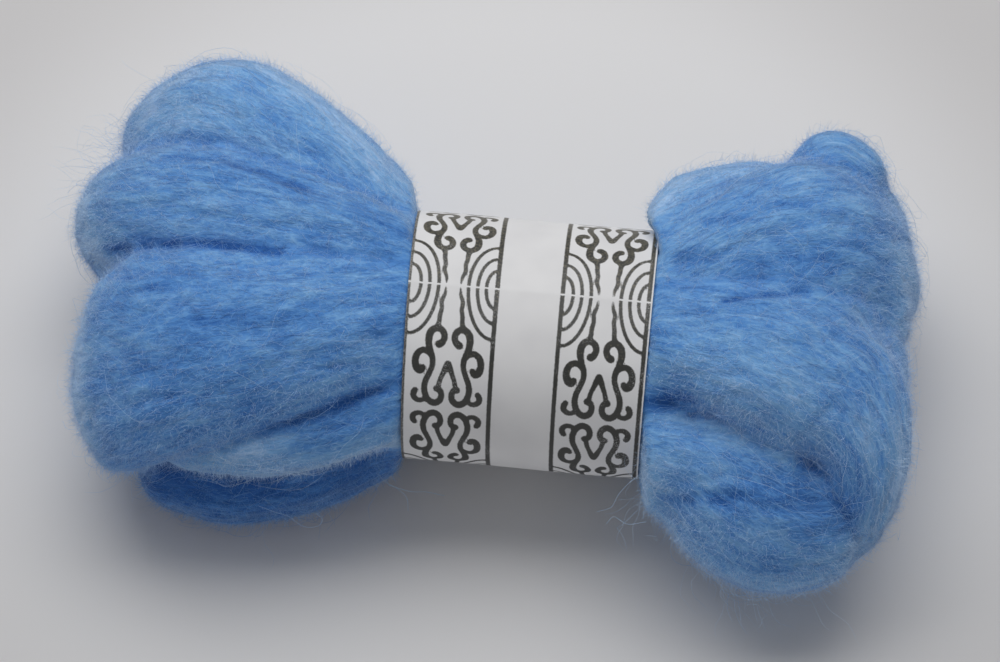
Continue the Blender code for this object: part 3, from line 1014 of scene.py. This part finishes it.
# %% Press the strands
STRANDS = {"Broad Depth": 1.5 * MM, "Broad Width": 7.0 * MM, "Fine Depth": 0.5 * MM}
STRANDS |= {"Fine Width": 2.2 * MM, "Valley Depth": 2.8 * MM, "Stretch": 0.22}
STRAND_SEED = 4
WOBBLE = 6 * MM
WOBBLE_SCALE = 60.0
ROUNDNESS = 0.55
LEVEL = 0.6


def strand_tree():
    """Sinks the surface along stretched noise lines, at two sizes."""
    given = begin_growth("strands", STRANDS)
    position = geo("InputPosition")
    wobble = wandering(position, WOBBLE_SCALE, WOBBLE)

    def sunk(place, axis):
        """How far the surface is raised or sunk by strands that run along the axis."""
        place = vector("ADD", stretched(place, axis, given["Stretch"]), wobble)
        sink = 0.0
        for kind, detail in (("Broad", 1.0), ("Fine", 2.0)):
            scale = maths("DIVIDE", 1.0, given[f"{kind} Width"])
            away = maths("ABSOLUTE", minus(noise(place, scale, detail, given["Seed"]), 0.5))
            swell = maths("POWER", maths("MULTIPLY", away, 4.0, use_clamp=True), ROUNDNESS)
            sink = times_plus(given[f"{kind} Depth"], minus(swell, LEVEL), sink)
        return sink

    seam = attribute("seam")
    sink = times(sunk(attribute("lie", "FLOAT_VECTOR"), 2), minus(1.0, seam))
    sink = times_plus(sunk(position, 0), seam, sink)
    sink = minus(sink, times(attribute("valley"), given["Valley Depth"]))
    offset = scaled(geo("InputNormal"), times(sink, attribute("open_room")))
    moved = geo("SetPosition", {"Geometry": given["Geometry"], "Offset": offset})
    return finish_growth(above(moved, 0.0), given["Material"])


values = {**STRANDS, "Seed": STRAND_SEED, "Material": wool_skin}
wool_body = grown("wool_body", body_mesh, strand_tree(), values)
body_mesh = wool_body.data
body_mesh.shade_smooth()

# %% [markdown]
# ## Laying single fibres on the body
# The eye knows wool by its single fibres. A tree scatters points over the body and puts a short
# curve on each. A repeat zone walks the curve's points forward one by one: each step reads
# `flow` at the nearest skin, wanders a little, and is pulled back on to the surface. Both ends
# dip into the wool, so no cut end shows. A three-sided tube is enough for a hair this thin.

# %% Build the tree that grows hairs
HAIR_NUMBERS = (
    *("Density", "Length", "Width", "Cling", "Rise", "Spread"),
    *("Wander", "Wander Scale", "Lift", "Tone Low", "Tone High", "Points"),
)
# Each hair's own share of the length, the lift and the width lies in these ranges.
LENGTH_SHARES, LIFT_SHARES, WIDTH_SHARES = (0.6, 1.3), (0.1, 1.0), (0.35, 0.65)
NOISE_SPAN = 50.0
ROOT_SINK = 0.2
TIP_POWER, TIP_TAPER = 3.0, 0.75
FLOOR_CLEAR = 0.7
TINY = 1e-6


def scattered(given, mask):
    """Points on the given mesh, as dense as the mask allows."""
    density = times(given["Density"], attribute(mask))
    sockets = {"Mesh": given["Geometry"], "Density": density, "Seed": given["Seed"]}
    return geo("DistributePointsOnFaces", sockets, "Points")


def hair_tree(mask):
    """Hairs that walk over the given mesh along its flow, thickest where mask is one."""
    given = begin_growth(f"hairs_{mask}", HAIR_NUMBERS)
    skin = given["Geometry"]
    position = geo("InputPosition")
    curve = geo("CurveOfPoint", out="Curve Index")

    def own(low, high, draw):
        return chance(low, high, curve, plus(given["Seed"], draw))

    def sampled(value, kind="FLOAT_VECTOR"):
        sockets = {"Mesh": skin, "Value": value, "Sample Position": position}
        return geo("SampleNearestSurface", sockets, "Value", data_type=kind)

    line = geo("CurvePrimitiveLine", {"End": (0, 0, TINY)})
    line = geo("ResampleCurve", {"Curve": line, "Count": given["Points"]})
    hairs = geo("InstanceOnPoints", {"Points": scattered(given, mask), "Instance": line})
    hairs = geo("RealizeInstances", {"Geometry": hairs})
    # Each hair carries the skin's painted light and shade from its root.
    hairs = store(hairs, "root_shade", sampled(attribute("shade"), "FLOAT"))

    last = minus(given["Points"], 1.0)
    step = maths("DIVIDE", times(given["Length"], own(*LENGTH_SHARES, 1.0)), last)
    begin = open_tree.nodes.new("GeometryNodeRepeatInput")
    end = open_tree.nodes.new("GeometryNodeRepeatOutput")
    begin.pair_with_output(end)
    feed(begin.inputs["Iterations"], last)
    feed(begin.inputs["Geometry"], hairs)
    ahead = geo("CurveOfPoint", out="Index in Curve")
    ahead = maths("GREATER_THAN", ahead, begin.outputs["Iteration"])

    flow = sampled(attribute("flow", "FLOAT_VECTOR"))
    normal = sampled(geo("InputNormal"))
    wander = times(given["Wander"], 4.0)
    wander = wandering(position, given["Wander Scale"], wander, own(0.0, NOISE_SPAN, 2.0))
    turned = times(own(-1.0, 1.0, 6.0), given["Spread"])
    sideways = scaled(vector("CROSS_PRODUCT", normal, flow), maths("SINE", turned))
    heading = vector("ADD", scaled(flow, maths("COSINE", turned)), sideways)
    heading = vector("ADD", heading, scaled(normal, given["Rise"]))
    heading = vector("NORMALIZE", vector("ADD", heading, wander))
    free = vector("ADD", position, scaled(heading, step))
    held = {"Target": skin, "Source Position": free}
    held = geo("Proximity", held, "Position", target_element="FACES")
    pulled = vector("ADD", free, scaled(vector("SUBTRACT", held, free), given["Cling"]))
    walked = {"Geometry": begin.outputs["Geometry"], "Selection": ahead, "Position": pulled}
    feed(end.inputs["Geometry"], geo("SetPosition", walked))

    share = geo("SplineParameter", out="Factor")
    arch = minus(maths("SINE", times(share, math.pi)), ROOT_SINK)
    height = times(times(own(*LIFT_SHARES, 3.0), given["Lift"]), arch)
    lifted = {"Geometry": end.outputs["Geometry"], "Offset": scaled(normal, height)}
    hairs = above(geo("SetPosition", lifted), times(given["Width"], FLOOR_CLEAR))
    taper = maths("POWER", maths("ABSOLUTE", times_plus(share, 2.0, -1.0)), TIP_POWER)
    taper = minus(1.0, times(taper, TIP_TAPER))
    radius = times(times(given["Width"], own(*WIDTH_SHARES, 4.0)), taper)
    tone = plus(own(given["Tone Low"], given["Tone High"], 5.0), attribute("root_shade"))
    section = geo("CurvePrimitiveCircle", {"Resolution": 3, "Radius": 1.0})
    tube = {"Curve": store(hairs, "tone", tone), "Profile Curve": section}
    tubes = geo("CurveToMesh", {**tube, "Scale": radius, "Fill Caps": True})
    tubes = geo("SetShadeSmooth", {"Geometry": tubes})
    return finish_growth(tubes, given["Material"])


# %% [markdown]
# ## Layers of hair
# Laid fibres cling to the body, and a few cross the rest. Fuzz lets go of it at once, and long
# stray hairs and wisps arch away. These start clear of the band, so none runs through the paper.

# %% Grow the hairs
# Each row has the mask and the seed, then the tree's numbers in their order, in three groups.
# Tones near one reach the palest colour, painted light for light shining through hairs that stand
# off.
HAIRS = {
    "lay_fibres": ("cover", 1, (6e4, 15 * MM, 0.07 * MM, 1.0, 0.0, 0.2),
                   (0.5, 120.0, 0.6 * MM), (0.35, 0.8, 6)),
    "combed_fibres": ("cover", 11, (9.8e4, 6.5 * MM, 0.065 * MM, 1.0, 0.0, 0.8),
                      (1.8, 300.0, 1.2 * MM), (0.4, 0.9, 5)),
    "crossing_fibres": ("cover", 21, (9.8e4, 5.5 * MM, 0.06 * MM, 1.0, 0.0, 2.6),
                        (2.8, 380.0, 1.8 * MM), (0.6, 1.0, 5)),
    "fuzz": ("hair_room", 101, (2.3e5, 4.5 * MM, 0.05 * MM, 0.0, 1.1, 1.5),
             (0.9, 220.0, 0.0), (0.7, 1.0, 3)),
    "stray_hairs": ("hair_room", 111, (1.2e4, 26 * MM, 0.07 * MM, 0.3, 0.35, 0.8),
                    (0.8, 90.0, 2.0 * MM), (0.6, 1.0, 10)),
    "wisps": ("wisp_room", 121, (1.5e5, 17 * MM, 0.06 * MM, 0.0, 0.8, 1.5),
              (1.5, 110.0, 0.0), (0.75, 1.05, 12)),
}

hair_trees = {mask: hair_tree(mask) for mask in ("cover", "hair_room", "wisp_room")}
hairs = []
for name, (mask, seed, *groups) in HAIRS.items():
    values = dict(zip(HAIR_NUMBERS, sum(groups, ())))
    values |= {"Seed": seed, "Material": wool_fibre}
    hairs.append(grown(name, body_mesh, hair_trees[mask], values))

# %% [markdown]
# ## The haze at the edges
# The softest part of the outline is a haze of hair ends, too many to walk one by one. A thin
# spike stands for each. It leans between the skin's normal and a chance direction, and is left
# off where wool lies pressed.

# %% Grow the haze
# The haze's high tones are painted light: pale spikes for light shining through hair ends.
HAZE = {"Density": 1.45e6, "Length": 3.0 * MM, "Width": 0.09 * MM}
HAZE |= {"Lean": 0.75, "Tone Low": 0.75, "Tone High": 1.05}
HAZE_SEED = 201
HAZE_LENGTH_SHARES = (0.3, 1.2)


def haze_tree():
    """Thin spikes that lean at random from the skin, most of them on its sides."""
    given = begin_growth("haze", HAZE)
    number = geo("InputIndex")

    def own(low, high, draw):
        return chance(low, high, number, plus(given["Seed"], draw))

    roots = scattered(given, "side_room")
    normal = find_socket(roots.node.outputs, "Normal")
    # The haze takes the skin's painted light and shade as well.
    tone = plus(own(given["Tone Low"], given["Tone High"], 1.0), attribute("shade"))
    roots = store(roots, "tone", tone)
    sides = [own(-1.0, 1.0, 2.0 + axis) for axis in range(3)]
    heading = {"Vector": vector("ADD", normal, scaled(join(*sides), given["Lean"]))}
    aligned = node("FunctionNodeAlignRotationToVector", heading, "Rotation", axis="Z")
    length = times(own(*HAZE_LENGTH_SHARES, 6.0), given["Length"])
    half = times(given["Width"], 0.5)
    spike = {"Vertices": 3, "Radius Top": 0.0, "Radius Bottom": 1.0, "Depth": 1.0}
    spikes = {"Points": roots, "Instance": geo("MeshCone", spike, "Mesh")}
    spikes |= {"Rotation": aligned, "Scale": join(half, half, length)}
    real = geo("RealizeInstances", {"Geometry": geo("InstanceOnPoints", spikes)})
    return finish_growth(above(real, 0.0), given["Material"])


values = {**HAZE, "Seed": HAZE_SEED, "Material": wool_fibre}
hairs.append(grown("edge_haze", body_mesh, haze_tree(), values))

# %% [markdown]
# ## Fibres that have come away
# A few fibres curl over the floor and by the paper's corner. Each is drawn on its own, with the
# same path and sweep as the passes, only very thin.

# %% Draw the loose fibres
FIBRE_SIDES = 4
FIBRE_HALF_WIDTH = 0.055
# The loose fibres' high tone is painted light, for light shining through them.
FIBRE_TONE = 0.9
LOOSE_FIBRES = {
    "over_the_floor": [
        (-41, -35, 24), (-38, -37, 19), (-35, -36.5, 14), (-30, -35, 9), (-26, -33, 6),
        (-21, -32, 3),
    ],
    "to_the_front": [(-36, -37, 15), (-34, -36.5, 13), (-31, -37.5, 10), (-30.5, -38.5, 4)],
    "curled_under_veil": [
        (-71, -49, 18), (-66, -50.5, 18), (-62, -51, 17), (-58, -52, 14), (-54, -52, 15),
        (-52.5, -52.5, 20), (-54, -53, 24),
    ],
    "over_the_corner": [(38, -44, 44), (33, -42, 40), (29, -43, 33), (27, -43, 25), (23, -41, 18)],
    "by_the_corner": [(37, -50, 31), (32, -49, 27), (28, -46, 25), (26, -45, 19)],
}

fibres = [
    Pass(name, [(*place, FIBRE_HALF_WIDTH, FIBRE_HALF_WIDTH) for place in places])
    for name, places in LOOSE_FIBRES.items()
]
fibres_mesh = swept("loose_fibres", fibres, FIBRE_SIDES)
write_attributes(fibres_mesh, tone=np.full(len(fibres_mesh.vertices), FIBRE_TONE))
fibres_mesh.materials.append(wool_fibre)
fibres_mesh.shade_smooth()
hairs.append(add_object("loose_fibres", fibres_mesh))
print("loose fibres:", triangle_count(fibres_mesh), "triangles")

# %% [markdown]
# ## The paper band
# The band is a strip of printed paper, glued into a sleeve that was folded once along its
# length and has small dents. It is a grid of points: `along` runs from the left edge to the
# right one and `around` from the top of the oval to the front, both as lengths on the paper.
# The printed columns get a fine grid. The inside is one wide ring of faces.

# %% Shape the paper
PAPER_SHOWN = 0.45 * MM
AROUND_PITCH = 0.6 * MM
# Where each column starts and ends along the band, and how far apart its points are, in mm.
COLUMNS = ((0.0, 25.4, 0.58), (25.4, 41.6, 1.35), (41.6, 67.0, 0.58))
OVAL_POINTS = 7200
FOLD_AT = 2.0 * MM
FOLD_RISE = 0.35 * MM
FOLD_WIDTH = 2.5 * MM
DENT = 0.22 * MM
DENTS_ROUND, DENTS_ALONG, DENT_FADE, DENT_SHIFT = 3, 9, 40, 5.0


def even_steps(start, end, pitch):
    return np.linspace(start, end, max(int(round((end - start) / pitch)), 1), endpoint=False)


oval_angles = np.linspace(0, 2 * np.pi, OVAL_POINTS) + np.pi / 2
oval = band_half_width * np.cos(oval_angles), band_half_height * np.sin(oval_angles)
oval_lengths = np.concatenate([[0], np.cumsum(np.hypot(*np.diff(oval)))])
girth = oval_lengths[-1]
around_steps = even_steps(0, girth, AROUND_PITCH)
columns = [even_steps(*(length * MM for length in column)) for column in COLUMNS]
along_steps = np.concatenate([*columns, [BAND_LENGTH]])
print("paper round the waist in mm:", round(girth / MM, 1))


def past_fold(around):
    """The way round the oval from the fold, the shorter way and below nought before it."""
    return (around - FOLD_AT + girth / 2) % girth - girth / 2


def paper_points(along, around, inset):
    """Places on the paper, inset from its outside."""
    angle = np.interp(around, oval_lengths, oval_angles)
    outward = np.stack([np.cos(angle) / band_half_width, np.sin(angle) / band_half_height], axis=-1)
    outward /= np.linalg.norm(outward, axis=-1)[..., None]
    swell = FOLD_RISE * np.exp(-np.abs(past_fold(around)) / FOLD_WIDTH) - FOLD_RISE
    wave = np.sin(2 * np.pi * (DENTS_ROUND * around / girth + DENTS_ALONG * along))
    wave *= np.sin(DENT_FADE * along + DENT_SHIFT)
    swell = swell + DENT * (wave - 1)
    across = band_half_width * np.cos(angle) + outward[..., 0] * (swell - inset)
    upward = band_half_height * np.sin(angle) + outward[..., 1] * (swell - inset)
    left = -BAND_LENGTH / 2 - BAND_SLANT * across
    length = left + (BAND_LENGTH / 2 - left) * along / BAND_LENGTH
    return np.stack([waist.x + length, waist.y + across, waist.z + upward], axis=-1)


around_grid, along_grid = np.meshgrid(around_steps, along_steps)
edge_along, edge_around = along_grid[[0, -1]], around_grid[[0, -1]]
outer_points = paper_points(along_grid, around_grid, 0.0).reshape(-1, 3)
inner_points = paper_points(edge_along, edge_around, PAPER_SHOWN).reshape(-1, 3)
all_points = np.concatenate([outer_points, inner_points])
rings = np.arange(len(all_points)).reshape(-1, len(around_steps))
rings = np.concatenate([rings[:-2], rings[[-1, -2, 0]]])
corners = [rings[:-1], rings[1:], np.roll(rings[1:], -1, 1), np.roll(rings[:-1], -1, 1)]
faces = np.stack(corners, axis=2).reshape(-1, 4)

paper_mesh = bpy.data.meshes.new("paper_band")
paper_mesh.from_pydata(all_points.tolist(), [], faces.tolist())
check = bmesh.new()
check.from_mesh(paper_mesh)
if check.calc_volume(signed=True) < 0:
    bmesh.ops.reverse_faces(check, faces=check.faces)
    check.to_mesh(paper_mesh)
open_edges = sum(len(edge.link_faces) != 2 for edge in check.edges)
check.free()
print("paper band:", triangle_count(paper_mesh), "triangles,", open_edges, "open edges")

# %% [markdown]
# ## The printed scrolls
# The border is a traditional one: rings and scrolls, mirrored about the middle of each column
# and again about the fold. So only a quarter is drawn, as strokes of changing width. Each point
# is folded back into that quarter and stores how far it is from the nearest stroke's edge. The
# finish turns that distance into ink, which stays sharp where an image would blur.

# %% Draw a quarter of the border
# Each stroke lists its distance from the column's middle, its distance from the fold and half
# its width. Each ring has its half sizes. All are in millimetres.
COLUMN_HALF = 11.7
HALF_REPEAT = 35.5
SCROLLS = {
    "wavy_stem": [
        (2.0, 0.7, 0.25), (2.2, 2.8, 0.5), (2.9, 5.0, 0.62), (2.75, 7.2, 0.62), (3.1, 9.2, 0.66),
        (3.2, 11.2, 0.7), (3.7, 12.8, 0.85),
    ],
    "arch_and_foot": [
        (2.75, 17.4, 1.15), (1.9, 16.8, 0.95), (1.4, 15.2, 0.92), (2.0, 13.6, 0.95),
        (3.7, 12.9, 1.0), (5.3, 14.2, 1.05), (5.7, 16.6, 1.0), (5.2, 19.0, 0.9), (4.4, 21.2, 0.85),
        (4.3, 23.4, 0.8), (5.1, 25.8, 0.8), (6.0, 28.0, 0.85), (6.2, 30.4, 0.9), (5.3, 32.9, 0.95),
        (3.5, 34.0, 1.0), (1.9, 33.2, 0.95), (1.4, 31.5, 0.88), (1.9, 30.1, 0.88), (2.8, 29.8, 1.0),
    ],
    "outer_curl": [
        (4.9, 20.6, 0.7), (5.8, 19.7, 0.85), (7.2, 19.4, 0.9), (8.6, 20.5, 0.95), (9.1, 22.5, 1.0),
        (8.6, 24.4, 1.1), (7.6, 25.0, 1.1), (6.9, 24.2, 0.9),
    ],
    "gable": [
        (0.0, 22.7, 1.0), (0.6, 23.9, 0.9), (1.3, 25.6, 0.72), (2.0, 27.4, 0.68), (2.4, 29.4, 0.75),
    ],
    "side_hook": [
        (5.6, 32.4, 0.6), (6.6, 33.4, 0.7), (8.0, 33.5, 0.78), (9.1, 32.6, 0.85), (9.1, 31.4, 0.9),
        (8.7, 30.7, 0.85),
    ],
}
RINGS = ((2.7, 6.0), (5.1, 10.4), (7.6, 15.0))
RING_HALF_STROKE = 0.52
STROKE_STEPS = 6
RING_STEPS = 28
FAR_FROM_INK = 3.0

lines = [smooth_rows(rows, STROKE_STEPS) / MM for rows in SCROLLS.values()]
turn = np.linspace(0, np.pi / 2, RING_STEPS)
for across, down in RINGS:
    half_stroke = np.full(RING_STEPS, RING_HALF_STROKE)
    ring = [COLUMN_HALF - across * np.cos(turn), down * np.sin(turn), half_stroke]
    lines.append(np.stack(ring, axis=1))


def distance_to_stroke(places, line):
    """How far each place is outside the stroke, below nought inside it."""
    found = np.full(len(places), np.inf)
    for first, step in zip(line[:-1], np.diff(line, axis=0)):
        offset = places - first[:2]
        share = np.clip(offset @ step[:2] / (step[:2] @ step[:2]), 0, 1)
        gap = offset - share[:, None] * step[:2]
        found = np.minimum(found, np.hypot(gap[:, 0], gap[:, 1]) - first[2] - share * step[2])
    return found


print("strokes in the quarter:", len(lines))

# %% Print the border on the paper
# The column's border lines stand at these lengths from the left edge, with half their widths.
COLUMN_MIDDLES = (12.5 * MM, 54.3 * MM)
BORDER_LINES = ((0.3, 0.4), (24.5, 0.65), (42.4, 0.62), (66.0, 0.6))

paper_along = np.concatenate([along_grid.ravel(), edge_along.ravel()]) / MM
from_fold = past_fold(np.concatenate([around_grid.ravel(), edge_around.ravel()]))
repeat = np.abs(from_fold) / MM
down = HALF_REPEAT - np.abs(repeat % (2 * HALF_REPEAT) - HALF_REPEAT)
ink = np.full(len(paper_along), FAR_FROM_INK)
for middle in COLUMN_MIDDLES:
    across = np.abs(paper_along - middle / MM)
    inside = across < COLUMN_HALF
    places = np.stack([across, down], axis=1)[inside]
    for line in lines:
        ink[inside] = np.minimum(ink[inside], distance_to_stroke(places, line))
for place, half_width in BORDER_LINES:
    ink = np.minimum(ink, np.abs(paper_along - place) - half_width)
ink[along_grid.size :] = FAR_FROM_INK
write_attributes(paper_mesh, ink=ink, fold=from_fold / MM)
print("inked share of the paper:", f"{np.mean(ink < 0):.0%}")

# %% [markdown]
# ## The paper's finish
# Cheap printed paper is off-white and a little glossy where the ink lies. The brownish black
# ink has not covered evenly, and along the fold it has cracked off in a thin pale line. A fine
# noise roughens each stroke's edge, as ink bleeds into the paper.

# %% Finish the paper
PAPER_WHITE = (0.79, 0.785, 0.785, 1.0)
PAPER_GREY = (0.72, 0.715, 0.72, 1.0)
INK_DARK = (0.042, 0.042, 0.038, 1.0)
INK_THIN = (0.125, 0.115, 0.085, 1.0)
BLEED_SCALE, UNEVEN_SCALE, SPECK_SCALE = 2600.0, 1500.0, 4500.0
WORN_SCALE, SMUDGE_SCALE = 110.0, 60.0
# What a noise or a distance is mapped from, to go from nought to one.
INK_EDGE, CRACK, SPECKS, WORN = (0.12, -0.14), (0.62, 0.42), (0.60, 0.66), (0.52, 0.80)
THIN_INK, SMUDGE = (0.50, 0.68), (0.35, 0.7)
BLEED_REACH, CRACK_RAGGED, THIN_SLOPE = 0.35, 0.5, -0.004
PAPER_ROUGHNESS, INK_ROUGHNESS = 0.6, 0.42
INK_HEIGHT, GRAIN_HEIGHT = 0.3, 0.4
PAPER_BUMP, PAPER_BUMP_DEPTH = 0.35, 0.06 * MM
SHARP_ANGLE = math.radians(40)


def mixed(share, first, second):
    """A colour mixed from two, by share."""
    sockets = {"Factor_Float": share, "A_Color": first, "B_Color": second}
    return node("ShaderNodeMix", sockets, "Result_Color", data_type="RGBA")


printed_paper, shader = begin_material("printed_paper", {"Specular IOR Level": 0.4})
place = object_place()
bleed = noise(place, BLEED_SCALE, 2.0)
uneven = noise(place, UNEVEN_SCALE, 3.0)
fold = stored("fold")
edge = times_plus(minus(bleed, 0.5), BLEED_REACH, stored("ink"))
cracked = map_range(times_plus(bleed, CRACK_RAGGED, maths("ABSOLUTE", fold)), *CRACK)
specks = map_range(noise(place, SPECK_SCALE), *SPECKS)
worn = map_range(noise(place, WORN_SCALE), *WORN)
bare = maths("MAXIMUM", cracked, times(specks, worn))
inked = times(map_range(edge, *INK_EDGE), minus(1.0, bare))
thin = map_range(times_plus(fold, THIN_SLOPE, uneven), *THIN_INK)
ink_colour = mixed(thin, INK_DARK, INK_THIN)
smudge = map_range(noise(place, SMUDGE_SCALE, 2.0), *SMUDGE)
paper_colour = mixed(smudge, PAPER_WHITE, PAPER_GREY)
feed(shader.inputs["Base Color"], mixed(inked, paper_colour, ink_colour))
feed(shader.inputs["Roughness"], map_range(inked, 0.0, 1.0, PAPER_ROUGHNESS, INK_ROUGHNESS))
grain = times_plus(inked, INK_HEIGHT, times(uneven, GRAIN_HEIGHT))
bump(shader, PAPER_BUMP, PAPER_BUMP_DEPTH, grain)
paper_mesh.materials.append(printed_paper)
paper_mesh.shade_smooth()
paper_mesh.set_sharp_from_angle(angle=SHARP_ANGLE)
paper_band = add_object("paper_band", paper_mesh)

# %% [markdown]
# ## Hand the pieces to the frame
# Everything rides on the root, as nothing in the roving moves by itself. The hairs stand on
# the wool and replace no solid of their own. Wool and paper have a colour slot each.

# %% Ride on the root and replace the solids
for piece in [wool_body, *hairs]:
    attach(piece, "root")
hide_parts("roving")
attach(paper_band, "root")
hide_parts("band")

pieces = [wool_body, paper_band, *hairs]
total = sum(triangle_count(piece.data) for piece in pieces)
print(len(pieces), "pieces,", total, "triangles in all")

# %% [markdown]
# ## Check the size
# Everything is compared with the solids it dresses. Only hair tips may reach far past them.

# %% Measure and finish
low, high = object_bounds()
for side, past in (("low", cad_low - low), ("high", high - cad_high)):
    print(f"hair tips past the solids, {side} sides, in mm:", [round(gap / MM, 1) for gap in past])
